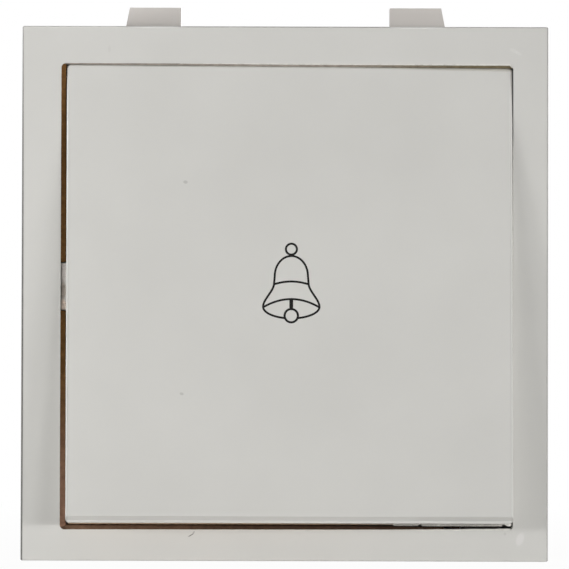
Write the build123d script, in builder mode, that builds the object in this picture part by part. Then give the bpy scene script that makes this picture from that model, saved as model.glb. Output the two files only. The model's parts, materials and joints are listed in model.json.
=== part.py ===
"""Two-module bell-push switch: a moulded front frame that hooks into a grid plate, a full-face rocker on
side trunnions, and a rear base in which a sprung plunger bridges two fixed contacts.

Millimetres. Seen on the wall, X runs to the right and Z up. Y runs into the wall, so the face looks
along -Y. The origin is the middle of the mounting plane, the back rim of the frame's skirt.
The rocker is modelled at rest, with its lower end standing out.
"""
import os
from math import cos, radians, sin

from build123d import *

# Front frame
face_width = 44.8
face_height = 45.5
frame_depth = 5.0
front_wall = 1.6
skirt_wall = 1.0
face_corner = 0.15
face_edge = 0.12

# Opening for the rocker and the collar behind it, a little off the middle of the face
opening_width = 38.5
opening_height = 39.7
opening_shift_x = 0.17
opening_shift_z = -0.26
opening_corner = 0.4
collar_wall = 1.1
collar_reach = 7.5
wall_overrun = 0.2

# Hooks on top and latch tongues below, which hold the grid plate against the skirt's rim
grid_thickness = 2.0
grid_clearance = 0.2
hook_spacing = 18.1
hook_top_width = 4.45
hook_root_width = 5.4
hook_rise = 2.2
hook_thickness = 2.0
gusset_width = 1.6
gusset_length = 3.0
tongue_spacing = 22.8
tongue_width = 6.0
tongue_slot = 0.8
tongue_root = 0.8
tongue_end_gap = 0.5
latch_height = 1.1
latch_length = 3.4

# Rocker
rocker_proud = 1.1
rocker_wall = 1.5
rest_angle = 4.0
press_angle = 3.0
gap_left = 0.46
gap_right = 0.08
gap_top = 0.3
gap_lower = 0.37
top_fall = 0.25
left_fall = 0.12
lower_lip = 0.2
lower_slope = 0.33
lower_step = 0.3
rocker_corner = 0.32
rocker_edge = 0.2
stiffener_spacing = 19.0
stiffener_width = 0.9
stiffener_height = 1.3

# Trunnions, which turn in the collar's side walls
pivot_inset = 2.4
pivot_height = 0.6
trunnion_diameter = 3.0
trunnion_reach = 1.0
thrust_diameter = 4.2
thrust_clearance = 0.06
running_clearance = 0.05
skirt_margin = 0.3

# Push rib on the rocker's back
push_arm = 14.0
rib_width = 6.0
rib_thickness = 2.0
rib_reach = 4.75
touch_clearance = 0.05

# Rear base
base_fit = 0.08
base_wall = 1.5
base_floor = 1.6
base_corner = 1.2
base_rear_edge = 0.6
flange_thickness = 1.5
stop_clearance = 0.15
snap_spacing = 22.0
snap_length = 6.0
snap_height = 0.8
snap_depth = 2.2
snap_front = 3.4
snap_clearance = 0.15
post_size = 3.2

# Guide plate
guide_thickness = 1.6
guide_cover = 0.4
guide_fit = 0.1
nib_height = 0.4
nib_depth = 0.9
nib_length = 5.0
leg_width = 3.0
leg_height = 4.0

# Plunger
nose_size = 6.0
plunger_size = 7.6
shoulder_length = 2.0
window_height = 4.6
window_back = 1.5
stem_diameter = 3.4
stem_length = 4.5
slide_clearance = 0.1
shoulder_clearance = 0.05

# Contacts
contact_spring_rise = 2.4
contact_spring_span = 12.0
contact_spring_height = 3.0
contact_spring_thickness = 0.3
bridge_length = 20.0
bridge_height = 4.0
bridge_thickness = 0.6
contact_inset = 2.0
contact_diameter = 3.0
contact_thickness = 0.8
rivet_diameter = 1.6
contact_clearance = 0.04
arm_thickness = 0.8
arm_height = 5.0
arm_margin = 2.2

# Return spring
return_spring_diameter = 5.2
return_spring_wire = 0.5
return_spring_turns = 4
wire_sides = 4
spring_seat_clearance = 0.02
spigot_length = 1.5
spigot_clearance = 0.3

# Terminals
block_width = 8.0
block_height = 8.0
block_depth = 6.5
block_clearance = 0.2
block_edge = 0.4
peg_diameter = 2.0
peg_shift = 1.8
wire_bore = 3.6
wire_inset = 2.4
pad_height = 1.0
pocket_wall = 1.2
pocket_clearance = 0.15
screw_diameter = 3.5
screw_head_diameter = 5.2
screw_head_height = 1.6
screw_lift = 0.3
screw_tip_clearance = 0.2
screw_slot_width = 0.8
screw_slot_depth = 0.7
thread_clearance = 0.03
access_diameter = 6.0

# Opening and collar
mid_x = opening_shift_x
mid_z = opening_shift_z
opening_centre = (mid_x, mid_z)
opening_left = mid_x - opening_width / 2
opening_right = mid_x + opening_width / 2
opening_top = mid_z + opening_height / 2
opening_bottom = mid_z - opening_height / 2
collar_width = opening_width + 2 * collar_wall
collar_height = opening_height + 2 * collar_wall
collar_top = opening_top + collar_wall
collar_bottom = opening_bottom - collar_wall
collar_corner = opening_corner + collar_wall
hook_front = grid_thickness + grid_clearance

# Pivot and the rocker at rest: depth runs into the wall from the pivot, height runs up from it
pivot_y = pivot_inset - frame_depth
pivot = (0, pivot_y, pivot_height)
face_depth = pivot_inset + rocker_proud
skirt_back = thrust_diameter / 2 + skirt_margin
rocker_left = opening_left + gap_left
rocker_low_left = rocker_left + left_fall
rocker_right = opening_right - gap_right
rocker_top = opening_top - gap_top - pivot_height
rocker_bottom = opening_bottom + gap_lower - pivot_height
rest = radians(rest_angle)
press = radians(press_angle)
rocker_plane = Plane(origin=pivot, x_dir=(1, 0, 0), z_dir=(0, -cos(rest), sin(rest)))
rocker_side_plane = Plane(origin=pivot, x_dir=(0, cos(rest), -sin(rest)), z_dir=(1, 0, 0))
tip_radius = rib_thickness / 2
tip_depth = rib_reach - tip_radius

# Depths behind the mounting plane, from the rocker's travel to the back of the base
top_skirt_at_rest = pivot_y + skirt_back * cos(rest) + rocker_top * sin(rest)
lower_skirt_pressed = pivot_y + skirt_back * cos(press) - rocker_bottom * sin(press)
rim_front = max(top_skirt_at_rest, lower_skirt_pressed) + stop_clearance
travel = push_arm * (rest + press)
plunger_z = pivot_height - push_arm
tip_at_rest = pivot_y + tip_depth * cos(rest) - push_arm * sin(rest) + tip_radius
nose_front = tip_at_rest + touch_clearance
guide_front = nose_front + travel + guide_cover
guide_back = guide_front + guide_thickness
shoulder_front = guide_back + shoulder_clearance
window_front = shoulder_front + shoulder_length
bridge_front = window_front + contact_spring_rise
bridge_back = bridge_front + bridge_thickness
stem_root = bridge_back + window_back
fixed_contact_front = bridge_back + contact_thickness + travel + contact_clearance
arm_front = fixed_contact_front + contact_thickness
block_front = arm_front + arm_thickness
block_back = block_front + block_depth
floor_front = block_back + pad_height
base_back = floor_front + base_floor
wire_depth = block_front + wire_inset
screw_head_front = block_back + screw_lift
screw_tip_front = wire_depth + wire_bore / 2 + screw_tip_clearance

# Base and terminal places
lip_width = opening_width - 2 * base_fit
lip_height = opening_height - 2 * base_fit
cavity_width = lip_width - 2 * base_wall
cavity_height = lip_height - 2 * base_wall
cavity_top = mid_z + cavity_height / 2
cavity_bottom = mid_z - cavity_height / 2
terminal_offset = cavity_width / 2 - block_clearance - block_width / 2
block_bottom = cavity_bottom + block_clearance
block_z = block_bottom + block_height / 2
contact_offset = bridge_length / 2 - contact_inset
arm_inner = contact_offset - arm_margin
arm_outer = terminal_offset + block_width / 2
SIDES = {"left": -1, "right": 1}


def depth_plane(depth):
    """Plane across the switch, this far behind the mounting plane, looking out of the wall."""
    return Plane.XZ.offset(-depth)


def save(piece, name):
    """Label a finished piece and write it as one STEP file."""
    piece.label = name
    export_step(piece, f"parts/{name}.step")


os.makedirs("parts", exist_ok=True)

# Front frame: a hollow bezel with a collar behind the opening
with BuildPart() as front_frame:
    with BuildSketch(depth_plane(0)):
        RectangleRounded(face_width, face_height, face_corner)
    extrude(amount=frame_depth)
    fillet(front_frame.faces().sort_by(Axis.Y)[0].edges(), radius=face_edge)
    with BuildSketch(depth_plane(0)):
        Rectangle(face_width - 2 * skirt_wall, face_height - 2 * skirt_wall)
    extrude(amount=frame_depth - front_wall, mode=Mode.SUBTRACT)
    with BuildSketch(depth_plane(collar_reach)):
        with Locations(opening_centre):
            RectangleRounded(collar_width, collar_height, collar_corner)
    extrude(amount=collar_reach + frame_depth - front_wall)
    with BuildSketch(depth_plane(collar_reach)):
        with Locations(opening_centre):
            RectangleRounded(opening_width, opening_height, opening_corner)
    extrude(amount=collar_reach + frame_depth, mode=Mode.SUBTRACT)

    # Hooks on the collar's top wall, straight inside and slanted outside, each with a gusset behind
    hook_root = collar_top - collar_wall / 2
    hook_top = face_height / 2 + hook_rise
    for side in SIDES.values():
        hook_inner = side * hook_spacing / 2
        with BuildSketch(depth_plane(hook_front)):
            with BuildLine():
                Polyline(
                    (hook_inner, hook_root),
                    (hook_inner, hook_top),
                    (hook_inner + side * hook_top_width, hook_top),
                    (hook_inner + side * hook_root_width, hook_root),
                    close=True,
                )
            make_face()
        extrude(amount=-hook_thickness)
        hook_back = hook_front + hook_thickness
        with BuildSketch(Plane.YZ.offset(hook_inner + side * hook_top_width / 2)):
            with BuildLine():
                Polyline(
                    (hook_back, hook_root),
                    (hook_back, hook_top - hook_rise),
                    (hook_back + gusset_length, collar_top),
                    (hook_back + gusset_length, hook_root),
                    close=True,
                )
            make_face()
        extrude(amount=gusset_width / 2, both=True)

    # Latch tongues, freed by slots in the collar's bottom wall
    tongue_back = collar_reach - tongue_end_gap
    latch_back = hook_front + latch_length
    for side in SIDES.values():
        tongue_x = mid_x + side * tongue_spacing / 2
        with BuildSketch(Plane.XY.offset(collar_bottom)):
            with Locations((tongue_x, tongue_root)):
                Rectangle(
                    tongue_width + 2 * tongue_slot,
                    collar_reach - tongue_root,
                    align=(Align.CENTER, Align.MIN),
                )
            with Locations((tongue_x, tongue_root)):
                Rectangle(
                    tongue_width,
                    tongue_back - tongue_root,
                    align=(Align.CENTER, Align.MIN),
                    mode=Mode.SUBTRACT,
                )
        extrude(amount=collar_wall, mode=Mode.SUBTRACT)
        with BuildSketch(Plane.YZ.offset(tongue_x)):
            with BuildLine():
                Polyline(
                    (hook_front, collar_bottom),
                    (hook_front, collar_bottom - latch_height),
                    (latch_back, collar_bottom),
                    close=True,
                )
            make_face()
        extrude(amount=tongue_width / 2, both=True)

    # Trunnion bores and snap windows, through the collar's side walls only
    with BuildSketch(Plane.YZ.offset(mid_x)):
        with Locations((pivot_y, pivot_height)):
            Circle(trunnion_diameter / 2 + running_clearance)
        with Locations((snap_front - snap_clearance, mid_z)):
            with GridLocations(1, snap_spacing, 1, 2):
                Rectangle(
                    snap_depth + 2 * snap_clearance,
                    snap_length + 2 * snap_clearance,
                    align=(Align.MIN, Align.CENTER),
                )
    extrude(amount=collar_width / 2 + wall_overrun, both=True, mode=Mode.SUBTRACT)
save(front_frame.part, "front_frame")

# Rocker: an open shell with a lip along its lower edge, trunnions on its sides and ribs behind.
# Its outline is a little out of square: the top edge falls to the right and the left edge leans in below.
with BuildPart() as rocker:
    with BuildSketch(rocker_plane.offset(face_depth)):
        with BuildLine():
            Polyline(
                (rocker_low_left, rocker_bottom),
                (rocker_right, rocker_bottom),
                (rocker_right, rocker_top - top_fall),
                (rocker_left, rocker_top),
                close=True,
            )
        make_face()
    extrude(amount=-(face_depth + skirt_back))
    out_of_wall = Axis(pivot, rocker_plane.z_dir)
    back_face = rocker.faces().sort_by(out_of_wall)[0]
    offset(amount=-rocker_wall, openings=back_face)
    corner_edges = rocker.edges().filter_by(out_of_wall).group_by(SortBy.LENGTH)[-1]
    fillet(corner_edges, radius=rocker_corner)
    fillet(rocker.faces().sort_by(out_of_wall)[-1].edges(), radius=rocker_edge)

    # The face slopes back to a narrow lip along the lower edge
    lip_depth = lower_step - face_depth
    lip_top = rocker_bottom + lower_lip
    with BuildSketch(rocker_side_plane.offset(rocker_left)):
        with BuildLine():
            Polyline(
                (-face_depth, lip_top + lower_slope),
                (lip_depth, lip_top),
                (lip_depth, rocker_bottom),
                (-face_depth, rocker_bottom),
                close=True,
            )
        make_face()
    extrude(amount=rocker_right - rocker_left, mode=Mode.SUBTRACT)

    # Stiffening ribs behind the face, rooted in the end walls
    stiffener_low = rocker_bottom + rocker_wall / 2
    stiffener_high = rocker_top - rocker_wall / 2
    with BuildSketch(rocker_plane.offset(face_depth - rocker_wall)):
        with Locations((mid_x, (stiffener_low + stiffener_high) / 2)):
            with GridLocations(stiffener_spacing, 1, 2, 1):
                Rectangle(stiffener_width, stiffener_high - stiffener_low)
    extrude(amount=-stiffener_height)

    # Thrust boss in the wide left gap, and a trunnion on each side
    with BuildSketch(Plane.YZ.offset(rocker_low_left)):
        with Locations((pivot_y, pivot_height)):
            Circle(thrust_diameter / 2)
    extrude(amount=opening_left + thrust_clearance - rocker_low_left)
    for root, tip in (
        (rocker_low_left, opening_left - trunnion_reach),
        (rocker_right, opening_right + trunnion_reach),
    ):
        with BuildSketch(Plane.YZ.offset(root)):
            with Locations((pivot_y, pivot_height)):
                Circle(trunnion_diameter / 2)
        extrude(amount=tip - root)

    # Push rib with a round tip, which bears on the plunger
    with BuildSketch(rocker_side_plane.offset(mid_x)):
        with Locations((tip_depth, -push_arm)):
            Circle(tip_radius)
            Rectangle(
                tip_depth + face_depth - rocker_wall / 2,
                rib_thickness,
                align=(Align.MAX, Align.CENTER),
            )
    extrude(amount=rib_width / 2, both=True)
save(rocker.part, "rocker")

# Rear base: a cup with a lip inside the collar, a flange behind it and seats for what it holds
with BuildPart() as rear_base:
    with BuildSketch(depth_plane(base_back)):
        with Locations(opening_centre):
            RectangleRounded(lip_width, lip_height, base_corner)
    extrude(amount=base_back - rim_front)
    chamfer(rear_base.faces().sort_by(Axis.Y)[-1].edges(), length=base_rear_edge)
    with BuildSketch(depth_plane(collar_reach + flange_thickness)):
        with Locations(opening_centre):
            RectangleRounded(collar_width, collar_height, collar_corner)
    extrude(amount=flange_thickness)
    with BuildSketch(depth_plane(floor_front)):
        with Locations(opening_centre):
            Rectangle(cavity_width, cavity_height)
    extrude(amount=floor_front - rim_front, mode=Mode.SUBTRACT)

    # Corner posts under the guide plate's top edge, rooted in the walls
    with BuildSketch(depth_plane(floor_front)):
        for side in SIDES.values():
            with Locations((mid_x + side * (cavity_width - post_size) / 2, cavity_top - post_size / 2)):
                Rectangle(post_size, post_size)
    extrude(amount=floor_front - guide_back)

    # Terminal pads, and an inner and an upper wall round each block
    for side in SIDES.values():
        terminal_x = mid_x + side * terminal_offset
        block_room = block_width / 2 + pocket_clearance
        block_top = block_bottom + block_height + pocket_clearance
        with BuildSketch(depth_plane(floor_front)):
            with Locations((terminal_x, block_z)):
                Rectangle(block_width, block_height)
        extrude(amount=pad_height)
        with BuildSketch(depth_plane(floor_front)):
            with Locations((terminal_x - side * (block_room + pocket_wall / 2), cavity_bottom)):
                Rectangle(
                    pocket_wall,
                    block_top + pocket_wall - cavity_bottom,
                    align=(Align.CENTER, Align.MIN),
                )
            with Locations((terminal_x, block_top + pocket_wall / 2)):
                Rectangle(2 * block_room, pocket_wall)
        extrude(amount=floor_front - block_front)

    # Spigot inside the return spring
    spring_bore = return_spring_diameter - 2 * return_spring_wire
    with BuildSketch(depth_plane(floor_front)):
        with Locations((mid_x, plunger_z)):
            Circle(spring_bore / 2 - spigot_clearance)
    extrude(amount=spigot_length)

    # Screwdriver holes through the floor and the pads
    with BuildSketch(depth_plane(base_back)):
        for side in SIDES.values():
            with Locations((mid_x + side * terminal_offset, block_z)):
                Circle(access_diameter / 2)
    extrude(amount=base_floor + pad_height, mode=Mode.SUBTRACT)

    # Wire entries through the bottom wall
    with BuildSketch(Plane.XY.offset(cavity_bottom)):
        for side in SIDES.values():
            with Locations((mid_x + side * terminal_offset, wire_depth)):
                Circle(wire_bore / 2)
    extrude(amount=-base_wall, mode=Mode.SUBTRACT)

    # Room for the latch tongues to bend inwards
    with BuildSketch(Plane.XY.offset(cavity_bottom)):
        for side in SIDES.values():
            with Locations((mid_x + side * tongue_spacing / 2, rim_front)):
                Rectangle(
                    tongue_width + 2 * tongue_slot,
                    collar_reach - rim_front,
                    align=(Align.CENTER, Align.MIN),
                )
    extrude(amount=-base_wall, mode=Mode.SUBTRACT)

    # Snap wedges outside the lip, and nibs inside it that keep the guide plate down
    for side in SIDES.values():
        lip_side = mid_x + side * lip_width / 2
        cavity_side = mid_x + side * cavity_width / 2
        for snap_z in (mid_z - snap_spacing / 2, mid_z + snap_spacing / 2):
            with BuildSketch(Plane.XY.offset(snap_z)):
                with BuildLine():
                    Polyline(
                        (lip_side, snap_front),
                        (lip_side, snap_front + snap_depth),
                        (lip_side + side * snap_height, snap_front + snap_depth),
                        close=True,
                    )
                make_face()
            extrude(amount=snap_length / 2, both=True)
        with BuildSketch(Plane.XY.offset(mid_z)):
            with BuildLine():
                Polyline(
                    (cavity_side, guide_front - nib_depth),
                    (cavity_side, guide_front),
                    (cavity_side - side * nib_height, guide_front),
                    close=True,
                )
            make_face()
        extrude(amount=nib_length / 2, both=True)
save(rear_base.part, "rear_base")

# Guide plate: closes the base, guides the plunger's nose and presses the contact arms down with two legs
with BuildPart() as guide_plate:
    with BuildSketch(depth_plane(guide_back)):
        with Locations(opening_centre):
            Rectangle(cavity_width - 2 * guide_fit, cavity_height - 2 * guide_fit)
        with Locations((mid_x, plunger_z)):
            Rectangle(nose_size + 2 * slide_clearance, nose_size + 2 * slide_clearance, mode=Mode.SUBTRACT)
    extrude(amount=guide_thickness)
    with BuildSketch(depth_plane(guide_back)):
        for side in SIDES.values():
            with Locations((mid_x + side * terminal_offset, plunger_z)):
                Rectangle(leg_width, leg_height)
    extrude(amount=-(arm_front - guide_back))
save(guide_plate.part, "guide_plate")

# Plunger: a square nose, a shoulder behind the guide plate, a window for the bridge and a spring stem
with BuildPart() as plunger:
    with BuildSketch(depth_plane(shoulder_front)):
        with Locations((mid_x, plunger_z)):
            Rectangle(nose_size, nose_size)
    extrude(amount=shoulder_front - nose_front)
    with BuildSketch(depth_plane(stem_root)):
        with Locations((mid_x, plunger_z)):
            Rectangle(plunger_size, plunger_size)
    extrude(amount=stem_root - shoulder_front)
    with BuildSketch(depth_plane(bridge_back)):
        with Locations((mid_x, plunger_z)):
            Rectangle(plunger_size, window_height)
    extrude(amount=bridge_back - window_front, mode=Mode.SUBTRACT)
    with BuildSketch(depth_plane(stem_root)):
        with Locations((mid_x, plunger_z)):
            Circle(stem_diameter / 2)
    extrude(amount=-stem_length)
save(plunger.part, "plunger")

# Return spring: a helix of square wire between the plunger and the base's floor
coil_front = stem_root + return_spring_wire / 2 + spring_seat_clearance
coil_length = floor_front - stem_root - return_spring_wire - 2 * spring_seat_clearance
with BuildPart() as return_spring:
    with BuildLine():
        coil = Helix(
            pitch=coil_length / return_spring_turns,
            height=coil_length,
            radius=(return_spring_diameter - return_spring_wire) / 2,
            center=(mid_x, coil_front, plunger_z),
            direction=(0, 1, 0),
        )
    with BuildSketch(Plane(origin=coil @ 0, z_dir=coil % 0)):
        RegularPolygon(return_spring_wire / 2, wire_sides)
    sweep(is_frenet=True)
save(return_spring.part, "return_spring")

# Contact spring: a bowed leaf between the window's front wall and the bridge
leaf_half = contact_spring_thickness / 2
leaf_crown = window_front + leaf_half + spring_seat_clearance
leaf_foot = bridge_front - leaf_half - spring_seat_clearance
with BuildPart() as contact_spring:
    with BuildSketch(Plane.XY.offset(plunger_z)):
        with BuildLine():
            ThreePointArc(
                (mid_x - contact_spring_span / 2, leaf_foot),
                (mid_x, leaf_crown),
                (mid_x + contact_spring_span / 2, leaf_foot),
            )
        trace(line_width=contact_spring_thickness)
    extrude(amount=contact_spring_height / 2, both=True)
save(contact_spring.part, "contact_spring")

# Contact bridge: a round-ended strip with holes for its two contacts
with BuildPart() as contact_bridge:
    with BuildSketch(depth_plane(bridge_back)):
        with Locations((mid_x, plunger_z)):
            SlotOverall(bridge_length, bridge_height)
            with GridLocations(2 * contact_offset, 1, 2, 1):
                Circle(rivet_diameter / 2, mode=Mode.SUBTRACT)
    extrude(amount=bridge_thickness)
save(contact_bridge.part, "contact_bridge")

for name, side in SIDES.items():
    contact_place = (mid_x + side * contact_offset, plunger_z)
    terminal_x = mid_x + side * terminal_offset
    peg_place = (terminal_x + side * peg_shift, plunger_z)

    # Moving contact: a rivet whose head faces the wall
    with BuildPart() as moving_contact:
        with BuildSketch(depth_plane(bridge_back)):
            with Locations(contact_place):
                Circle(contact_diameter / 2)
        extrude(amount=-contact_thickness)
        with BuildSketch(depth_plane(bridge_back)):
            with Locations(contact_place):
                Circle(rivet_diameter / 2)
        extrude(amount=bridge_thickness)
    save(moving_contact.part, f"moving_contact_{name}")

    # Fixed contact: a rivet whose head faces the bridge
    with BuildPart() as fixed_contact:
        with BuildSketch(depth_plane(arm_front)):
            with Locations(contact_place):
                Circle(contact_diameter / 2)
        extrude(amount=contact_thickness)
        with BuildSketch(depth_plane(arm_front)):
            with Locations(contact_place):
                Circle(rivet_diameter / 2)
        extrude(amount=-arm_thickness)
    save(fixed_contact.part, f"fixed_contact_{name}")

    # Contact arm: a strip from the fixed contact to the terminal block's peg
    with BuildPart() as contact_arm:
        with BuildSketch(depth_plane(block_front)):
            with Locations((mid_x + side * (arm_inner + arm_outer) / 2, plunger_z)):
                Rectangle(arm_outer - arm_inner, arm_height)
            with Locations(contact_place):
                Circle(rivet_diameter / 2, mode=Mode.SUBTRACT)
            with Locations(peg_place):
                Circle(peg_diameter / 2, mode=Mode.SUBTRACT)
        extrude(amount=arm_thickness)
    save(contact_arm.part, f"contact_arm_{name}")

    # Terminal block: a pillar with a wire bore across it, a tapped hole behind and a peg in front
    with BuildPart() as terminal_block:
        with BuildSketch(depth_plane(block_back)):
            with Locations((terminal_x, block_z)):
                Rectangle(block_width, block_height)
        extrude(amount=block_depth)
        chamfer(terminal_block.edges().filter_by(Axis.Y), length=block_edge)
        with BuildSketch(depth_plane(block_front)):
            with Locations(peg_place):
                Circle(peg_diameter / 2)
        extrude(amount=arm_thickness)
        with BuildSketch(Plane.XY.offset(block_bottom)):
            with Locations((terminal_x, wire_depth)):
                Circle(wire_bore / 2)
        extrude(amount=block_height, mode=Mode.SUBTRACT)
        with BuildSketch(depth_plane(block_back)):
            with Locations((terminal_x, block_z)):
                Circle(screw_diameter / 2 + thread_clearance)
        extrude(amount=block_back - wire_depth, mode=Mode.SUBTRACT)
    save(terminal_block.part, f"terminal_block_{name}")

    # Terminal screw: a slotted cheese head over a plain shank of the thread's size
    with BuildPart() as terminal_screw:
        with BuildSketch(depth_plane(screw_head_front)):
            with Locations((terminal_x, block_z)):
                Circle(screw_head_diameter / 2)
        extrude(amount=-screw_head_height)
        with BuildSketch(depth_plane(screw_head_front)):
            with Locations((terminal_x, block_z)):
                Circle(screw_diameter / 2)
        extrude(amount=screw_head_front - screw_tip_front)
        with BuildSketch(depth_plane(screw_head_front + screw_head_height)):
            with Locations((terminal_x, block_z)):
                Rectangle(screw_head_diameter, screw_slot_width)
        extrude(amount=screw_slot_depth, mode=Mode.SUBTRACT)
    save(terminal_screw.part, f"terminal_screw_{name}")

print(f"travel of the plunger {travel:.3f} mm, base {base_back:.3f} mm behind the mounting plane")
print(f"pivot at y {pivot_y:.3f}, z {pivot_height:.3f} mm; wire bores at y {wire_depth:.3f} mm")
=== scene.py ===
# %% [markdown]
# # A bell push switch, dressed
# The switch comes in as a fixed frame: every moulding, contact and screw already has its true size and
# place. This lesson adds what the frame can't carry: the printed bell, a pad on the rocker's boss, the
# dust and moulding flash in the gaps, a round-wire return spring, the finish of every surface, and the
# studio that shows them. All lengths in the frame are metres, so sizes are written in millimetres and
# multiplied by one value, MM.

# %% Load the frame and keep its box
import json
from math import cos, dist, radians, sin

import bmesh
import bpy
import numpy as np
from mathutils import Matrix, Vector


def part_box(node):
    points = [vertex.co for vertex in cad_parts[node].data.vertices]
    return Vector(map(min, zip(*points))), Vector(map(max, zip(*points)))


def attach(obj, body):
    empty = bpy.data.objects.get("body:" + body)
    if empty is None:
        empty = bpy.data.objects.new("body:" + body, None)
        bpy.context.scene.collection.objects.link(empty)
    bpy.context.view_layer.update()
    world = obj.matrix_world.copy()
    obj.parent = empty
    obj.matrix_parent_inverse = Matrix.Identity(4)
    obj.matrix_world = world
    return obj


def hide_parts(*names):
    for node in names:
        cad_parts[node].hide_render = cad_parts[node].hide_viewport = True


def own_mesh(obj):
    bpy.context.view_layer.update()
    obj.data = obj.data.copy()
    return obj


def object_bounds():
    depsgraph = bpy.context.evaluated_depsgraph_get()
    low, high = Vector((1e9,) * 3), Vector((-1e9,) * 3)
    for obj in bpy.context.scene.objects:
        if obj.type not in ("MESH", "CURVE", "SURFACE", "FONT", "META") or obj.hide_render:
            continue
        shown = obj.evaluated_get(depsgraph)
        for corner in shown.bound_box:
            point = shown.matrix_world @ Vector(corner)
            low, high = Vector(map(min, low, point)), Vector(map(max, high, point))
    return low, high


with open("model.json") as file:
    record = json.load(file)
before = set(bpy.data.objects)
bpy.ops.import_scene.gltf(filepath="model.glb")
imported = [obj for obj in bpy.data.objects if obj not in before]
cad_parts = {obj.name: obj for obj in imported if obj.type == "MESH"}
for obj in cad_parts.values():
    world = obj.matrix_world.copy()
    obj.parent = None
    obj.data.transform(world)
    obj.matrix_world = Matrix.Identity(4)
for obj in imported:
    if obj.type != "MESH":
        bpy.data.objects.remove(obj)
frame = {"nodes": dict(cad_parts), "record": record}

cad_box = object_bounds()
MM = 0.001
nodes = frame["nodes"]

# %% [markdown]
# Every new piece is a sheet of points: a grid with one parameter along each side. One helper turns such a
# grid into a mesh. It writes whole arrays at once, which is fast, and it can join the last row or column
# to the first, so the same helper makes ribbons, tubes and closed rings. Points that fall together are
# merged, so rows that shrink to one point close an end.

# %% Grid to mesh
MERGE = 1e-4


def grid_piece(name, points, material, wrap_rows=False, wrap_columns=False):
    """Mesh object from points[row, column]: each face joins neighbours in two rows and two columns."""
    rows, columns = points.shape[:2]
    index = np.arange(rows * columns).reshape(rows, columns)
    if wrap_rows:
        index = np.vstack([index, index[:1]])
    if wrap_columns:
        index = np.hstack([index, index[:, :1]])
    corners = [index[:-1, :-1], index[:-1, 1:], index[1:, 1:], index[1:, :-1]]
    quads = np.stack(corners, axis=-1).reshape(-1, 4)
    mesh = bpy.data.meshes.new(name)
    mesh.vertices.add(rows * columns)
    mesh.vertices.foreach_set("co", points.astype(np.float32).ravel())
    mesh.loops.add(quads.size)
    mesh.loops.foreach_set("vertex_index", quads.astype(np.int32).ravel())
    mesh.polygons.add(len(quads))
    mesh.polygons.foreach_set("loop_start", np.arange(0, quads.size, 4, dtype=np.int32))
    mesh.polygons.foreach_set("use_smooth", np.ones(len(quads), dtype=bool))
    mesh.update(calc_edges=True)
    merged = bmesh.new()
    merged.from_mesh(mesh)
    bmesh.ops.remove_doubles(merged, verts=merged.verts, dist=MERGE * MM)
    bmesh.ops.recalc_face_normals(merged, faces=merged.faces)
    merged.to_mesh(mesh)
    merged.free()
    mesh.materials.append(material)
    piece = bpy.data.objects.new(name, mesh)
    bpy.context.scene.collection.objects.link(piece)
    print(name, "has", len(mesh.polygons), "faces")
    return piece


# %% [markdown]
# ## Finishes
# A finish is a small graph of shader nodes. Colours are written as the hex values that a painter would
# pick on screen; Blender mixes light in linear values, so one function undoes the screen's curve. A
# second small function adds any node, sets it up and wires it. The others are the steps that most
# finishes share: follow a noise, mix two colours, and bump the surface.

# %% Colour and node helpers
# The range that a noise mostly takes, and the height of a full bump in mm.
NOISE_LOW, NOISE_HIGH = 0.3, 0.7
BUMP_HEIGHT = 0.01


def linear(hex_colour):
    """Linear RGBA of an sRGB hex colour: low values divide by 12.92, the rest follow the 2.4 power curve."""
    srgb = np.array([int(hex_colour[i:i + 2], 16) for i in (1, 3, 5)]) / 255
    curve = np.where(srgb <= 0.04045, srgb / 12.92, ((srgb + 0.055) / 1.055) ** 2.4)
    return (*curve.tolist(), 1.0)


def put(tree, kind, inputs=None, **settings):
    """Add a node, set its properties, then fill or link its inputs."""
    node = tree.nodes.new(kind)
    for key, value in settings.items():
        setattr(node, key, value)
    for socket, value in (inputs or {}).items():
        if isinstance(value, bpy.types.NodeSocket):
            tree.links.new(value, node.inputs[socket])
        else:
            node.inputs[socket].default_value = value
    return node


def new_finish(name, **shader):
    """Empty material with one Principled shader, its constant values set on the shader's own sockets."""
    material = bpy.data.materials.new(name)
    material.use_nodes = True
    tree = material.node_tree
    tree.nodes.clear()
    surface = put(tree, "ShaderNodeBsdfPrincipled", shader)
    put(tree, "ShaderNodeOutputMaterial", {"Surface": surface.outputs["BSDF"]})
    place = put(tree, "ShaderNodeTexCoord").outputs["Object"]
    print("finish:", name)
    return material, tree, surface, place


def per_mm(size):
    """Texture scale whose pattern repeats about once in this many millimetres."""
    return 1 / (size * MM)


def follow(tree, noise, low, high):
    """Value that goes from low to high with a noise, over the range that the noise mostly takes."""
    ranged = put(tree, "ShaderNodeMapRange", {
        "Value": noise.outputs["Fac"], "From Min": NOISE_LOW, "From Max": NOISE_HIGH,
        "To Min": low, "To Max": high})
    return ranged.outputs["Result"]


def mix_colours(tree, share, first, second):
    """Colour that goes from the first to the second as the share goes from 0 to 1."""
    mixed = put(tree, "ShaderNodeMix", {0: share, 6: first, 7: second}, data_type="RGBA")
    return mixed.outputs[2]


def roughen(tree, surface, noise, strength):
    """Bump the surface with a noise, as relief of a hundredth of a millimetre times the strength."""
    bump = put(tree, "ShaderNodeBump", {
        "Strength": strength, "Distance": BUMP_HEIGHT * MM, "Height": noise.outputs["Fac"]})
    tree.links.new(bump.outputs["Normal"], surface.inputs["Normal"])
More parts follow.
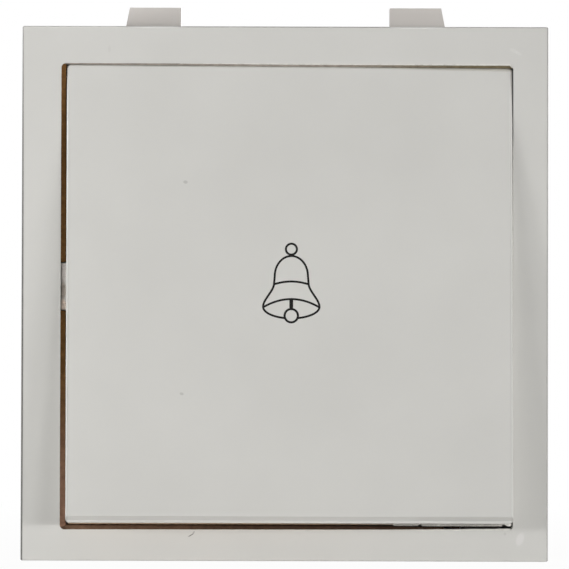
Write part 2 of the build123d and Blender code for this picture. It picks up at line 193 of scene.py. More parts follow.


# %% [markdown]
# The front frame and the rocker are ABS, injection moulded in a spark-eroded tool. That gives the eye a
# satin skin: a very fine even grain, soft highlights, and slow changes of tone where the melt flowed. The
# grain is about 0.05 mm on the real part; it is drawn at 0.16 mm so that it shows at this picture's size.
# Small marks are drawn where they lie on the part: each is a spot or a dash, measured from its own
# centre. Some are specks, a nick, a rub and a stain; the others are painted light and shade: glints in
# the frame's corners, and, the longest, shade along the edges of the face and of the rocker.

# %% Satin ABS, with marks
GRAIN = 0.16
FLOW = 9.0
# The shares of its half sizes where a mark starts to fade and where it ends.
MARK_FULL, MARK_GONE = 0.6, 1.1
# The depths in which the marks and the outer colour give way.
MARK_FADE = 0.1
HIDDEN_FADE = 1.0


def moulded_abs(name, colour, hidden_colour, marks, marks_end):
    """Satin ABS. Each mark is (x, z, half length, half width, turn in degrees, hex colour, strength).

    Marks lie on the front only: they fade out where the depth passes marks_end, in mm. Behind the mounting
    plane, at depth 0, the colour turns to the hidden one, which is paler and warmer.
    """
    material, tree, surface, place = new_finish(name, **{"IOR": 1.53, "Specular IOR Level": 0.35})
    flow = put(tree, "ShaderNodeTexNoise", {"Vector": place, "Scale": per_mm(FLOW), "Detail": 2.0})
    grain = put(tree, "ShaderNodeTexNoise", {"Vector": place, "Scale": per_mm(GRAIN), "Detail": 1.0})
    depth = put(tree, "ShaderNodeSeparateXYZ", {"Vector": place}).outputs["Y"]
    hidden = put(tree, "ShaderNodeMapRange", {"Value": depth, "From Min": 0.0, "From Max": HIDDEN_FADE * MM})
    plain = mix_colours(tree, hidden.outputs["Result"], linear(colour), linear(hidden_colour))
    shade = put(tree, "ShaderNodeHueSaturation", {"Value": follow(tree, flow, 0.975, 1.015), "Color": plain})
    skin = shade.outputs["Color"]
    front = put(tree, "ShaderNodeMapRange", {
        "Value": depth, "From Min": (marks_end - MARK_FADE) * MM, "From Max": marks_end * MM,
        "To Min": 1.0, "To Max": 0.0})
    for x, z, half_length, half_width, turn, mark_colour, strength in marks:
        local = put(tree, "ShaderNodeMapping", {
            "Vector": place, "Location": (x * MM, 0, z * MM), "Rotation": (0, radians(-turn), 0),
            "Scale": (half_length * MM, 1.0, half_width * MM)}, vector_type="TEXTURE")
        flat = put(tree, "ShaderNodeVectorMath", {
            0: local.outputs["Vector"], 1: (1, 0, 1)}, operation="MULTIPLY")
        reach = put(tree, "ShaderNodeVectorMath", {0: flat.outputs["Vector"]}, operation="LENGTH")
        cover = put(tree, "ShaderNodeMapRange", {
            "Value": reach.outputs["Value"], "From Min": MARK_FULL, "From Max": MARK_GONE,
            "To Min": strength, "To Max": 0.0}, interpolation_type="SMOOTHSTEP")
        share = put(tree, "ShaderNodeMath", {
            0: cover.outputs["Result"], 1: front.outputs["Result"]}, operation="MULTIPLY")
        skin = mix_colours(tree, share.outputs[0], skin, linear(mark_colour))
    tree.links.new(skin, surface.inputs["Base Color"])
    tree.links.new(follow(tree, grain, 0.40, 0.52), surface.inputs["Roughness"])
    roughen(tree, surface, grain, 0.08)
    return material


# %% Frame and rocker finishes
FRAME_COLOUR = "#CDCCC8"
ROCKER_COLOUR = "#CECDC9"
HIDDEN_COLOUR = "#D8D3CE"
# How far behind the face the marks reach.
FRAME_MARK_DEPTH = 0.25
ROCKER_MARK_DEPTH = 1.9
HOOK_X = 11.19
face_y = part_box("front_frame")[0].y / MM
half_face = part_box("front_frame")[1].x / MM
# The hooks stand above the face, so its upper edge is its lower one mirrored.
face_top = -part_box("front_frame")[0].z / MM
frame_marks_and_painted_light = [
    # A dark nick with its smear, below the rocker.
    (-7.93, -20.57, 0.30, 0.05, 30, "#3A3835", 0.75),
    (-7.70, -20.36, 0.18, 0.08, 55, "#6E6C68", 0.45),
    # A grey rub at the top left, pale patches in the right corners that are painted glints, and a grey speck.
    (-15.0, 20.8, 0.14, 0.35, 0, "#BDBBB7", 0.25),
    (19.45, 20.72, 0.45, 0.18, -25, "#DCDBD8", 0.25),
    (19.85, 20.5, 0.35, 0.14, -30, "#DCDBD8", 0.3),
    (20.03, -20.85, 0.36, 0.66, -20, "#DEDBDA", 0.5),
    (18.75, -20.39, 0.13, 0.15, 0, "#A8A6A1", 0.3),
    # Painted shade along the face's left, right and upper edges.
    (-half_face, -8, 40, 0.19, 90, "#3A3734", 0.9),
    (half_face, 8, 60, 0.14, 90, "#6A6865", 0.6),
    (0, face_top, 40, 0.10, 0, "#6A6865", 0.4),
    # The painted shade on the upper edge is left out at its left end and where the hooks join it; there the
    # edge is painted a little paler, as light.
    (-18.5, face_top, 5.5, 0.2, 0, "#D8D7D3", 0.9),
    (-HOOK_X, face_top, 2.8, 0.2, 0, "#DEDDDA", 0.95),
    (HOOK_X, face_top, 2.8, 0.2, 0, "#DEDDDA", 0.95),
]
rocker_marks_and_painted_light = [
    # Two faint specks on the face.
    (-8.47, 9.43, 0.22, 0.16, -10, "#55524E", 0.26),
    (-8.71, -8.57, 0.20, 0.13, -15, "#6E6B66", 0.28),
    # The pad on the boss, darker in its middle than at its ends.
    (-18.87, 1.75, 0.30, 1.10, 0, "#CEC7C3", 0.95),
    (-18.87, 0.18, 0.30, 0.85, 0, "#A69B91", 0.95),
    (-18.87, -1.05, 0.30, 0.60, 0, "#D2C1B4", 0.95),
    # Painted shade along the left, right and upper edges, and a grey smear at the lower right.
    (-18.45, -10, 22, 0.16, 90.17, "#8F8E8A", 0.3),
    (19.26, -2, 26, 0.16, 90, "#8F8E8A", 0.25),
    (18.5, 19.255, 12, 0.33, -0.52, "#7A7050", 0.33),
    (16, -19.1, 6, 0.26, 0, "#9C9B97", 0.18),
    # Darker along the lower edge, and a warm stain under it on the end wall; the stain is painted paler than
    # it is, to stand in for light that the end wall lacks.
    (-12, -19.55, 26, 0.10, 0, "#8F8E8A", 0.35),
    (-12, -19.62, 26, 0.13, 0, "#DDBB98", 0.95),
]
frame_abs = moulded_abs(
    "abs_frame_satin", FRAME_COLOUR, HIDDEN_COLOUR, frame_marks_and_painted_light, face_y + FRAME_MARK_DEPTH)
rocker_abs = moulded_abs(
    "abs_rocker_satin", ROCKER_COLOUR, HIDDEN_COLOUR, rocker_marks_and_painted_light, face_y + ROCKER_MARK_DEPTH)

# %% [markdown]
# The rear base and guide plate are phenolic, hot pressed from wood-flour moulding powder: dark brown, a
# little glossy, with a fine speckle where the filler shows. The plunger is acetal, which is whiter and
# waxier than ABS. The ink of the bell is a screen-print film, charcoal and half matt.

# %% Phenolic, acetal and ink
SPECKLE_FROM, SPECKLE_FULL = 0.5, 0.75


def speckled(name, colour, speckle_colour, speckle_size, roughness, ior, sheen=0.5):
    """Plastic whose colour turns to the speckle's where a fine noise is high; sheen scales its reflection."""
    material, tree, surface, place = new_finish(name, **{
        "IOR": ior, "Roughness": roughness, "Specular IOR Level": sheen})
    filler = put(tree, "ShaderNodeTexNoise", {
        "Vector": place, "Scale": per_mm(speckle_size), "Detail": 3.0})
    high = put(tree, "ShaderNodeMapRange", {
        "Value": filler.outputs["Fac"], "From Min": SPECKLE_FROM, "From Max": SPECKLE_FULL})
    skin = mix_colours(tree, high.outputs["Result"], linear(colour), linear(speckle_colour))
    tree.links.new(skin, surface.inputs["Base Color"])
    roughen(tree, surface, filler, 0.1)
    return material


phenolic = speckled("phenolic_moulded_brown", "#5A3A23", "#73502F", 0.35, 0.38, 1.6, sheen=0.3)
acetal = speckled("acetal_moulded_white", "#D2D1CB", "#DAD9D4", 1.5, 0.35, 1.48)
ink = speckled("screen_ink_charcoal", "#161514", "#22201F", 0.3, 0.6, 1.5, sheen=0.12)

# %% [markdown]
# The metals differ in how they were worked. Strip copper keeps fine lines along the rolling direction,
# the milled brass blocks have cutter lines, silver contacts are pressed smooth, and zinc plating and
# drawn wire are in between. Each is a metal shader whose roughness and bump follow a noise that is
# stretched along the working direction.

# %% Worked metals
GLOSS_SPREAD = 0.08


def worked_metal(name, colour, roughness, line_width, stretch):
    """Metal with tool lines: noise of this line width in mm, stretched by these factors along X, Y and Z."""
    material, tree, surface, place = new_finish(name, **{"Metallic": 1.0, "Base Color": linear(colour)})
    drawn = put(tree, "ShaderNodeMapping", {"Vector": place, "Scale": tuple(1 / s for s in stretch)})
    lines = put(tree, "ShaderNodeTexNoise", {
        "Vector": drawn.outputs["Vector"], "Scale": per_mm(line_width), "Detail": 2.0})
    gloss = follow(tree, lines, roughness - GLOSS_SPREAD, roughness + GLOSS_SPREAD)
    tree.links.new(gloss, surface.inputs["Roughness"])
    roughen(tree, surface, lines, 0.15)
    return material


copper = worked_metal("copper_strip_rolled", "#C98A68", 0.32, 0.08, (20, 1, 1))
silver = worked_metal("silver_contact_pressed", "#D9D7D0", 0.25, 0.3, (1, 1, 1))
brass = worked_metal("brass_milled", "#C9A860", 0.3, 0.1, (1, 1, 15))
zinc = worked_metal("steel_zinc_plated", "#B9BBBD", 0.34, 0.2, (1, 1, 1))
wire = worked_metal("steel_spring_drawn", "#8E9094", 0.3, 0.15, (1, 1, 1))

# %% [markdown]
# The frame's nodes keep their shapes and only take these finishes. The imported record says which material
# slot each node belongs to, so one small table from slot to finish dresses every node.

# %% Dress the frame's nodes
finish_of_slot = {
    "frame_abs": frame_abs, "rocker_abs": rocker_abs, "base_phenolic": phenolic, "plunger_acetal": acetal,
    "contact_copper": copper, "contact_silver": silver, "terminal_brass": brass, "screw_steel": zinc,
    "spring_steel": wire,
}
for subpart in frame["record"]["subparts"]:
    slots = nodes[subpart["node"]].data.materials
    slots.clear()
    slots.append(finish_of_slot[subpart["material_slot"]])

# %% [markdown]
# ## The printed bell
# The bell is screen printed on the rocker's face in thin charcoal lines: a ring on top, a domed shoulder,
# a flared skirt, an open mouth and a clapper. It could be a picture on the face, but lines made as real
# ink films stay sharp at any distance. First the face is measured from the rocker's own mesh: its largest
# flat side.

# %% Measure the rocker's face
FORWARD = -0.9
SAME_WAY = 0.99999
FACE_SLACK = 0.01
rocker_mesh = nodes["rocker"].data
normals = np.zeros(len(rocker_mesh.polygons) * 3)
areas = np.zeros(len(rocker_mesh.polygons))
centres = np.zeros(len(rocker_mesh.polygons) * 3)
rocker_mesh.polygons.foreach_get("normal", normals)
rocker_mesh.polygons.foreach_get("area", areas)
rocker_mesh.polygons.foreach_get("center", centres)
normals, centres = normals.reshape(-1, 3), centres.reshape(-1, 3)
facing = normals[np.argmax(areas * (normals[:, 1] < FORWARD))]
outward = centres @ facing
on_face = (normals @ facing > SAME_WAY) & (outward > outward.max() - FACE_SLACK * MM)
face_reach = float(np.average(outward[on_face], weights=areas[on_face]))
across = np.array([1.0, 0.0, 0.0])
upward = np.cross(facing, across)
upward *= np.sign(upward[2])
print("face tilt, degrees:", round(float(np.degrees(np.arcsin(facing[2]))), 3))


def on_rocker(flat, lift=0.0):
    """Points of the face from (x, z) in mm: slide along the face to that height, then lift off it."""
    flat = np.asarray(flat, float) * MM
    foot = facing * face_reach
    rise = (flat[..., 1] - foot[2]) / upward[2]
    slid = foot + flat[..., :1] * across + rise[..., None] * upward
    return slid + np.asarray(lift)[..., None] * facing


# %% [markdown]
# Each line of the bell is a path, and an ink film is a flat lens carried along it: an ellipse as wide as
# the line and about two hundredths of a millimetre thick. Open lines end in half circles, closed lines
# join up.

# %% Ink film along a path
LINE = 0.178
INK = 0.012
AROUND = 12
CAP_STEPS = 5


def ink_line(name, path, width=LINE, closed=False):
    """Lens profile carried along a path on the face; at an open end the width follows a circle."""
    path = np.asarray(path, float)
    if not closed:
        first = path[0] + (path[0] - path[1]) / np.linalg.norm(path[0] - path[1]) * width / 2
        last = path[-1] + (path[-1] - path[-2]) / np.linalg.norm(path[-1] - path[-2]) * width / 2
        cap = np.linspace(0, 1, CAP_STEPS)[:-1, None] ** 2
        path = np.vstack([first + (path[0] - first) * cap, path, (last + (path[-1] - last) * cap)[::-1]])
    ahead = np.roll(path, -1, axis=0) - np.roll(path, 1, axis=0)
    if not closed:
        ahead[0], ahead[-1] = path[1] - path[0], path[-1] - path[-2]
    side = np.stack([-ahead[:, 1], ahead[:, 0]], axis=1) / np.linalg.norm(ahead, axis=1)[:, None]
    half = np.full(len(path), width / 2)
    if not closed:
        run = np.concatenate([[0], np.cumsum(np.linalg.norm(np.diff(path, axis=0), axis=1))])
        to_end = np.minimum(np.minimum(run, run[-1] - run) / (width / 2), 1)
        half = half * np.sqrt(np.clip(1 - (1 - to_end) ** 2, 0, 1))
    angle = np.linspace(0, 2 * np.pi, AROUND, endpoint=False)
    flat = path[:, None] + side[:, None] * half[:, None, None] * np.cos(angle)[None, :, None]
    lift = INK * MM * (half / (width / 2))[:, None] * np.sin(angle)[None]
    piece = grid_piece(name, on_rocker(flat, lift), ink, wrap_rows=closed, wrap_columns=True)
    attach(piece, "rocker")


# %% [markdown]
# The bell's shape is a handful of curves about its own middle line. The shoulder is half an ellipse
# standing on two short sides, and each flare is a cubic curve that leaves the side downwards and arrives
# upright at the lip. The band and the mouth's far edge are shallow arches. The mouth's near edge is half
# an ellipse, broken by the clapper's ball.

# %% Curves for the bell
BELL_X = 0.55
through = np.linspace(0, 1, 33)
turn = np.linspace(0, 2 * np.pi, 48, endpoint=False)


def bell(x, z):
    """Points (x, z) about the bell's middle line, moved to its place on the face."""
    return np.stack([BELL_X + np.asarray(x) + 0 * np.asarray(z), np.asarray(z) + 0 * np.asarray(x)], axis=-1)


def circle(height, radius):
    """Circle on the middle line, round this height."""
    return bell(radius * np.cos(turn), height + radius * np.sin(turn))


def arch(half_width, ends, middle):
    """Parabola across the middle line, from the height of its ends to the height of its middle."""
    x = 2 * through - 1
    return bell(half_width * x, ends + (middle - ends) * (1 - x ** 2))


def bezier(a, b, c, d):
    """Cubic curve from a to d, leaving towards b and arriving from c."""
    a, b, c, d = (np.array(p)[None] for p in (a, b, c, d))
    s = through[:, None]
    return (1 - s) ** 3 * a + 3 * (1 - s) ** 2 * s * b + 3 * (1 - s) * s ** 2 * c + s ** 3 * d


# %% Bell lines
SHOULDER, WAIST = (1.41, 1.43), (1.47, 0.74)
CROWN = 3.15
BAND_RISE = 0.24
FLARE_LEAVES, FLARE_ARRIVES = (1.54, 0.12), (2.39, -0.57)
LIP = (2.39, -1.165)
MOUTH_TOP, MOUTH_LOW, MOUTH_ENDS = -0.515, -2.155, -1.215
RING, RING_LINE = (3.73, 0.465), 0.185
BALL, BALL_LINE = (-1.925, 0.565), 0.19
RIM_STOP = 0.60
ROD, ROD_DROP = 0.32, 0.06

ink_line("bell_ring", circle(*RING), width=RING_LINE, closed=True)
ink_line("bell_ball", circle(*BALL), width=BALL_LINE, closed=True)
dome = np.linspace(np.pi, 0, 49)
shoulder = bell(SHOULDER[0] * np.cos(dome), SHOULDER[1] + (CROWN - SHOULDER[1]) * np.sin(dome))
ink_line("bell_shoulder", np.vstack([bell(-WAIST[0], WAIST[1])[None], shoulder, bell(*WAIST)[None]]))
sweep = np.linspace(0, np.arccos(RIM_STOP / LIP[0]), 25)
for name, side in (("left", -1), ("right", 1)):
    flare = bezier(*((side * x, z) for x, z in (WAIST, FLARE_LEAVES, FLARE_ARRIVES, LIP)))
    ink_line(f"bell_flare_{name}", bell(flare[:, 0], flare[:, 1]))
    rim = bell(side * LIP[0] * np.cos(sweep), LIP[1] + (MOUTH_LOW - LIP[1]) * np.sin(sweep))
    ink_line(f"bell_rim_{name}", rim)
ink_line("bell_band", arch(WAIST[0], WAIST[1], WAIST[1] + BAND_RISE))
ink_line("bell_mouth", arch(LIP[0], MOUTH_ENDS, MOUTH_TOP))
rod = np.linspace(MOUTH_TOP - ROD_DROP, BALL[0] + BALL[1] + ROD / 2, 5)
ink_line("bell_clapper", bell(0 * rod, rod), width=ROD)

# %% [markdown]
# ## Dust in the gaps and the pad on the boss
# The switch isn't new. Dust has packed into the gap round the rocker, just under the face's edge: brown
# on the left, brown and greasy below, loose and grey above. Dark paint on the walls wouldn't show,
# because a straight view sees past them into the dark, so the dust is a real bead on the frame's wall.
# Its section is an oval filled out towards a square, which lies half in the wall, and its reach off the
# wall wanders.

# %% Dust finish
DUST_GRAIN = 0.5


def packed_dust(name, axis, start, end):
    """Mottled matt dust that shades from one colour to another along an axis; each end is (mm, hex)."""
    material, tree, surface, place = new_finish(name, **{"Roughness": 0.95, "Specular IOR Level": 0.1})
    spot = put(tree, "ShaderNodeSeparateXYZ", {"Vector": place})
    along = put(tree, "ShaderNodeMapRange", {
        "Value": spot.outputs[axis], "From Min": start[0] * MM, "From Max": end[0] * MM},
        interpolation_type="SMOOTHSTEP")
    tint = mix_colours(tree, along.outputs["Result"], linear(start[1]), linear(end[1]))
    mottle = put(tree, "ShaderNodeTexNoise", {"Vector": place, "Scale": per_mm(DUST_GRAIN), "Detail": 3.0})
    shade = put(tree, "ShaderNodeHueSaturation", {"Value": follow(tree, mottle, 0.8, 1.15), "Color": tint})
    tree.links.new(shade.outputs["Color"], surface.inputs["Base Color"])
    return material


# Packed brown dust beside the rocker: paler at the lower end, golden above.
dust_side = packed_dust("dust_packed_brown", "Z", (-20.5, "#A07C68"), (-5, "#6E4E2B"))
# Old grease and dust under the rocker: darker away from the left corner.
dust_below = packed_dust("dust_greasy_brown", "X", (-19, "#6A5343"), (2, "#433429"))
# Loose grey dust above the rocker: olive at the right, where it lies thickest.
dust_above = packed_dust("dust_loose_grey", "X", (0, "#958E86"), (18, "#6E6550"))

# %% Where the opening's walls are
COLLAR_WALL = 1.1
base_low, base_high = (np.array(corner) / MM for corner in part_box("rear_base"))
wall_left, wall_right = base_low[0] + COLLAR_WALL, base_high[0] - COLLAR_WALL
wall_low, wall_high = base_low[2] + COLLAR_WALL, base_high[2] - COLLAR_WALL
print("opening, mm:", np.round([wall_left, wall_right, wall_low, wall_high], 3).tolist())


# %% Bead along a wall
BEAD_ROWS, BEAD_SIDES = 221, 16
# The length in which an end rounds off.
BEAD_END = 0.06


def wander(share, waves):
    """Smooth uneven number between about -1 and 1: three sine waves whose lengths don't match."""
    phases = (waves * 2.1 * share + 0.4, waves * 5.3 * share + 1.9, waves * 9.7 * share)
    return sum(np.sin(phase) for phase in phases) / 3


def signed_root(values):
    """Square root of the size of each value, with its sign kept."""
    return np.sign(values) * np.sqrt(np.abs(values))


def gap_bead(name, start, end, out_of_wall, reach, material, sink=0.5, depth=0.34, body="housing"):
    """Bead from start to end (x, z) on a wall: a squarish oval that stands off it by reach, a list of mm.

    The oval takes the roots of cosine and sine, which fills out a circle towards a square. Its middle lies
    sink behind the face and its half depth is depth. Rows stand closer at the ends, where it rounds off.
    """
    share = (1 - np.cos(np.linspace(0, np.pi, BEAD_ROWS))) / 2
    ends = np.sqrt(np.clip(np.minimum(share, 1 - share) * dist(start, end) / BEAD_END, 0, 1))
    height = np.interp(share, np.linspace(0, 1, len(reach)), reach) * (1 + 0.06 * wander(share, 40)) * ends
    sunk = sink * (1 + 0.15 * wander(share, 25))
    angle = np.linspace(0, 2 * np.pi, BEAD_SIDES, endpoint=False)
    line = np.array(start) + (np.array(end) - np.array(start)) * share[:, None]
    off = signed_root(np.cos(angle))
    inward = signed_root(np.sin(angle))
    flat = line[:, None] + height[:, None, None] * off[None, :, None] * np.array(out_of_wall)
    behind = face_y + sunk[:, None] + depth * ends[:, None] * inward[None]
    points = np.stack([flat[..., 0], behind, flat[..., 1]], axis=-1) * MM
    piece = grid_piece(name, points, material, wrap_columns=True)
    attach(piece, body)
    return piece


# %% [markdown]
# On the left the rocker's thrust boss reaches into the gap and interrupts the dust. Its visible end is a
# pad, the same squarish bead, rooted in the rocker's side so that it turns with the rocker.

# %% Boss pad
# PAD holds the heights of its two ends, PAD_ROOT is the X of its middle line, and PAD_ROOM is its
# distance from the dust.
PAD = (-1.46, 2.58)
PAD_ROOT = -18.6
PAD_ROOM = 0.02
gap_bead("boss_pad", (PAD_ROOT, PAD[1]), (PAD_ROOT, PAD[0]), (-1, 0), [0.452],
         rocker_abs, sink=0.4, depth=0.25, body="rocker")

# %% Dust beads
DUST_LOWER_END = 13.6
gap_bead("dust_left_upper", (wall_left, wall_high + 0.1), (wall_left, PAD[1] + PAD_ROOM), (1, 0),
         [0.40, 0.42, 0.43, 0.44], dust_side)
left_low = gap_bead("dust_left_lower", (wall_left, PAD[0] - PAD_ROOM), (wall_left, wall_low), (1, 0),
                    [0.44, 0.48, 0.50, 0.52], dust_side)
top = gap_bead("dust_top", (wall_right, wall_high), (wall_left + 0.1, wall_high), (0, -1),
               [0.38, 0.33, 0.26, 0.18, 0.1], dust_above)
low = gap_bead("dust_lower", (wall_left, wall_low), (DUST_LOWER_END, wall_low), (0, 1),
               [0.42, 0.42, 0.42, 0.42, 0.42, 0.41, 0.38, 0.28], dust_below)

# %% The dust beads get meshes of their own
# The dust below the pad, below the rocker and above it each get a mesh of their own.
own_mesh(left_low)
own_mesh(low)
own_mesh(top)

# %% [markdown]
# At the lower right the gap holds pale shreds as well: flash, the thin skin of plastic that leaks between
# two halves of a mould and tears. It is a ragged fin under the rocker's lower edge, so it moves with the
# rocker. Thin strips of it also line the opening, just behind the face: below, on the right, and at the
# top, where a strip that thickens to the right makes the opening's upper edge fall a little, as the
# photograph shows.

# %% Flash finish and the rocker's lower edge
flash_abs = speckled("abs_flash_pale", "#D8D6D0", "#C2C0BA", 0.4, 0.5, 1.53)
# A darker, greyer copy of the pale flash for the torn fins under the rocker: painted shade.
flash_painted_shade = speckled("abs_flash_painted_shade", "#9C9993", "#C0BDB7", 0.4, 0.6, 1.53)
corners = np.zeros(len(rocker_mesh.vertices) * 3)
rocker_mesh.vertices.foreach_get("co", corners)
lower_edge = (corners.reshape(-1, 3) @ upward).min() / MM
print("rocker's lower edge along its face, mm:", round(float(lower_edge), 3))

# %% Moulding flash
FIN_ROWS, FIN_SIDES = 121, 10
# The share of a fin's length in which an end rounds off.
FIN_END = 0.03
# How far a fin lies behind the rocker's face, its half thickness, and how far it is rooted in the edge.
FIN_BEHIND, FIN_HALF, FIN_ROOT = 1.0, 0.03, 0.02


def flash_fin(name, start, end, drop, material, torn=1.0):
    """Thin fin along X under the lower edge: a slim ellipse whose drop, a list of mm, is torn raggedly."""
    share = np.linspace(0, 1, FIN_ROWS)
    ragged = np.clip(0.85 + 0.4 * wander(share, 60) + 0.25 * wander(share, 23), 0.65, 1.0)
    ends = np.sqrt(np.clip(np.minimum(share, 1 - share) / FIN_END, 0, 1))
    fall = np.interp(share, np.linspace(0, 1, len(drop)), drop) * (1 - torn * (1 - ragged)) * ends
    angle = np.linspace(0, 2 * np.pi, FIN_SIDES, endpoint=False)
    along = (start + (end - start) * share)[:, None] + 0 * angle
    height = lower_edge + FIN_ROOT - fall[:, None] * (1 + np.cos(angle)[None]) / 2
    out = face_reach / MM - FIN_BEHIND + FIN_HALF * ends[:, None] * np.sin(angle)[None]
    points = along[..., None] * across + height[..., None] * upward + out[..., None] * facing
    piece = grid_piece(name, points * MM, material, wrap_columns=True)
    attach(piece, "rocker")


def wall_flash(name, start, end, out_of_wall, reach):
    """Thin strip of flash on the opening's wall, just behind the face."""
    gap_bead(name, start, end, out_of_wall, reach, flash_abs, sink=0.09, depth=0.07)


flash_fin("flash_a", 9.2, 11.4, [0.22], flash_painted_shade)
flash_fin("flash_b", 11.6, 14.6, [0.25], flash_painted_shade)
flash_fin("flash_c", 14.4, 18.5, [0.26], flash_painted_shade)
flash_fin("flash_d", 18.65, 19.22, [0.05, 0.2, 0.24, 0.18], flash_abs, torn=0.0)

CORNER = 0.34
wall_flash("flash_lower", (-18.5, wall_low), (wall_right - 0.15, wall_low), (0, 1),
           [0.01, 0.025, 0.03, 0.04, 0.05, 0.06, 0.11, 0.18])
wall_flash("flash_right", (wall_right, 13.0), (wall_right, wall_low + 1.0), (-1, 0), [0.04, 0.066, 0.066])
wall_flash("flash_top", (wall_right, wall_high), (-9.0, wall_high), (0, -1), [0.14, 0.12, 0.10, 0.02])
wall_flash("flash_corner", (wall_right - CORNER, wall_high), (wall_right, wall_high - CORNER), (-0.7, -0.7),
           [0.08])

# %% [markdown]
# ## Return spring
# Behind the rocker a coil spring pushes the plunger out. In the frame its wire is square; here it is
# round: a circle carried along a helix. Its ends are closed to a point inside the seats.

# %% Round-wire return spring
WIRE = 0.25 * MM
TURNS = 4
STEPS_PER_TURN = 40
WIRE_SIDES = 14
WIRE_END = 0.004
spring_low, spring_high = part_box("return_spring")
coil_mid = (spring_low + spring_high) / 2
coil_radius = (spring_high.x - spring_low.x) / 2 - WIRE
share = np.linspace(0, 1, TURNS * STEPS_PER_TURN + 1)
winding = share * TURNS * 2 * np.pi
around = np.linspace(0, 2 * np.pi, WIRE_SIDES, endpoint=False)
to_end = np.minimum(np.minimum(share, 1 - share) / WIRE_END, 1)
wire_radius = WIRE * np.sqrt(np.clip(1 - (1 - to_end) ** 2, 0, 1))
ring_out = coil_radius + wire_radius[:, None] * np.cos(around)[None]
along = spring_low.y + WIRE + share * (spring_high.y - spring_low.y - 2 * WIRE)
coil = np.stack([
    coil_mid.x + ring_out * np.cos(winding)[:, None],
    along[:, None] + wire_radius[:, None] * np.sin(around)[None],
    coil_mid.z + ring_out * np.sin(winding)[:, None]], axis=-1)
spring = grid_piece("return_spring_wire", coil, wire, wrap_columns=True)
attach(spring, "housing")
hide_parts("return_spring")
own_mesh(spring)

# %% [markdown]
# ## Studio
# The floor is a pale sheet under the switch. To the camera, and to reflections, floor and surroundings
# are white, which the Light Path node can ask for; other rays see a plain pale floor. Close to the switch
# a small share of that floor is left in what the camera sees, so the switch keeps a soft shadow. The
# white takes over with distance, so the floor's far edge doesn't show as a horizon.

# %% Floor
FLOOR_HALF = 2.0
FLOOR_DROP = 0.05
NEAR, FAR = 0.03, 0.25
NEAR_WHITE = 0.96


def seen_directly(tree):
    """1 for rays that show a surface to the eye: from the camera, off gloss or through glass; otherwise 0."""
    rays = put(tree, "ShaderNodeLightPath")
    seen = put(tree, "ShaderNodeMath", {
        0: rays.outputs["Is Camera Ray"], 1: rays.outputs["Is Glossy Ray"]}, operation="MAXIMUM")
    seen = put(tree, "ShaderNodeMath", {
        0: seen.outputs[0], 1: rays.outputs["Is Transmission Ray"]}, operation="MAXIMUM")
    return seen.outputs[0]


floor_material, floor_tree, floor_surface, floor_place = new_finish("floor_pale_card", **{
    "Base Color": linear("#F1F0ED"), "Roughness": 0.9})
away = put(floor_tree, "ShaderNodeVectorMath", {0: floor_place}, operation="LENGTH")
white = put(floor_tree, "ShaderNodeMapRange", {
    "Value": away.outputs["Value"], "From Min": NEAR, "From Max": FAR, "To Min": NEAR_WHITE, "To Max": 1.0})
white_share = put(floor_tree, "ShaderNodeMath", {
    0: seen_directly(floor_tree), 1: white.outputs["Result"]}, operation="MULTIPLY")
glow = put(floor_tree, "ShaderNodeEmission", {"Color": (1, 1, 1, 1), "Strength": 1.0})
shown = put(floor_tree, "ShaderNodeMixShader", {
    0: white_share.outputs[0], 1: floor_surface.outputs["BSDF"], 2: glow.outputs["Emission"]})
output = next(n for n in floor_tree.nodes if n.type == "OUTPUT_MATERIAL")
floor_tree.links.new(shown.outputs["Shader"], output.inputs["Surface"])
floor_z = cad_box[0].z - FLOOR_DROP * MM
span = np.linspace(-FLOOR_HALF, FLOOR_HALF, 5)
sheet = np.stack([*np.meshgrid(span, span, indexing="ij"), np.full((5, 5), floor_z)], axis=-1)
floor = grid_piece("floor", sheet, floor_material)

# %% World
AMBIENT = 0.1
world = bpy.data.worlds.new("pale_surroundings")
bpy.context.scene.world = world
world.use_nodes = True
sky_tree = world.node_tree
sky_tree.nodes.clear()
level = put(sky_tree, "ShaderNodeMapRange", {
    "Value": seen_directly(sky_tree), "To Min": AMBIENT, "To Max": 1.0})
sky = put(sky_tree, "ShaderNodeBackground", {"Color": (1, 1, 1, 1), "Strength": level.outputs["Result"]})
put(sky_tree, "ShaderNodeOutputWorld", {"Surface": sky.outputs["Background"]})
print("world:", world.name)

# %% [markdown]
# Most of the light comes from two boxes on the left and two on the right. They come in low over the face,
# so the raised end of the rocker keeps them from the strip on its other side, and the nearest one makes
# the face fall off to the right. A weak box stands behind the camera, and boxes overhead and behind let
# the top and the back read. Each box is an area lamp aimed at the switch.

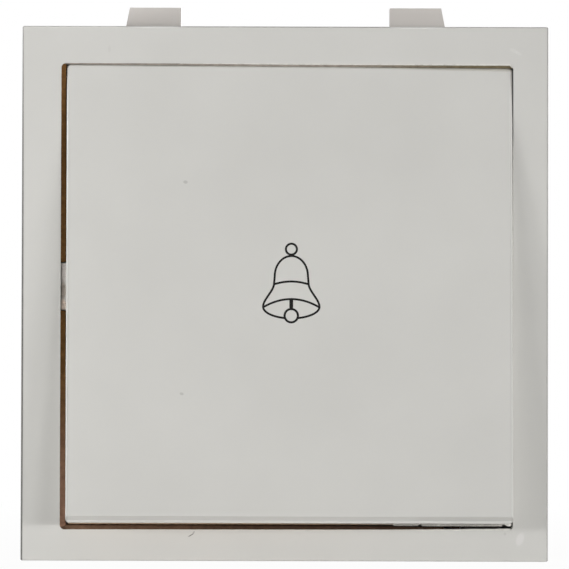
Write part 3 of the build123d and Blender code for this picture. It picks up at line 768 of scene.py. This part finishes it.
# %% Lamps
def soft_box(name, place, width, height, power):
    """Area lamp of this width and height at this place, all in metres, turned to face the switch."""
    lamp = bpy.data.lights.new(name, "AREA")
    lamp.shape = "RECTANGLE"
    lamp.size, lamp.size_y = width, height
    lamp.energy = power
    holder = bpy.data.objects.new(name, lamp)
    bpy.context.scene.collection.objects.link(holder)
    holder.location = place
    holder.rotation_euler = (-holder.location).to_track_quat("-Z", "Y").to_euler()
    print(name, "gives", power, "W")


soft_box("front_box", (0.0, -0.46, 0.0), 0.12, 0.04, 0.151)
soft_box("left_near_box", (-0.18, -0.062, -0.004), 0.03, 0.03, 0.194)
soft_box("left_box", (-0.3, -0.18, 0.014), 0.1, 0.035, 0.223)
soft_box("right_box", (0.3, -0.3, 0.008), 0.12, 0.04, 0.41)
soft_box("right_far_box", (0.55, -0.22, 0.014), 0.2, 0.035, 1.66)
soft_box("top_box", (0.0, 0.15, 0.6), 0.25, 0.25, 0.36)
soft_box("back_box", (0.35, 1.1, 0.2), 0.7, 0.35, 5.0)

# %% [markdown]
# The photograph is taken almost straight on, from well back and from a little below, so the lower edge
# looks a hair wider than the upper one. The lens follows from the face's width in the picture: its pixels
# per millimetre times the distance, over the picture's width.

# %% Camera
PICTURE = 569
PIXELS_PER_MM = 11.755
DISTANCE = 400.0
AXIS_HEIGHT = 0.755
ROLL = -0.15
PITCH = 1.6
camera = bpy.data.cameras.new("camera")
camera.sensor_width = 36.0
camera.lens = PIXELS_PER_MM * DISTANCE / PICTURE * camera.sensor_width
camera.clip_start, camera.clip_end = 0.01, 10.0
viewpoint = bpy.data.objects.new("camera", camera)
bpy.context.scene.collection.objects.link(viewpoint)
viewpoint.location = (0, (face_y - DISTANCE * cos(radians(PITCH))) * MM,
                      (AXIS_HEIGHT - DISTANCE * sin(radians(PITCH))) * MM)
viewpoint.rotation_euler = (radians(90 + PITCH), radians(ROLL), 0)
bpy.context.scene.camera = viewpoint
bpy.context.scene.view_settings.view_transform = "Standard"
print("lens, mm:", round(camera.lens, 1))
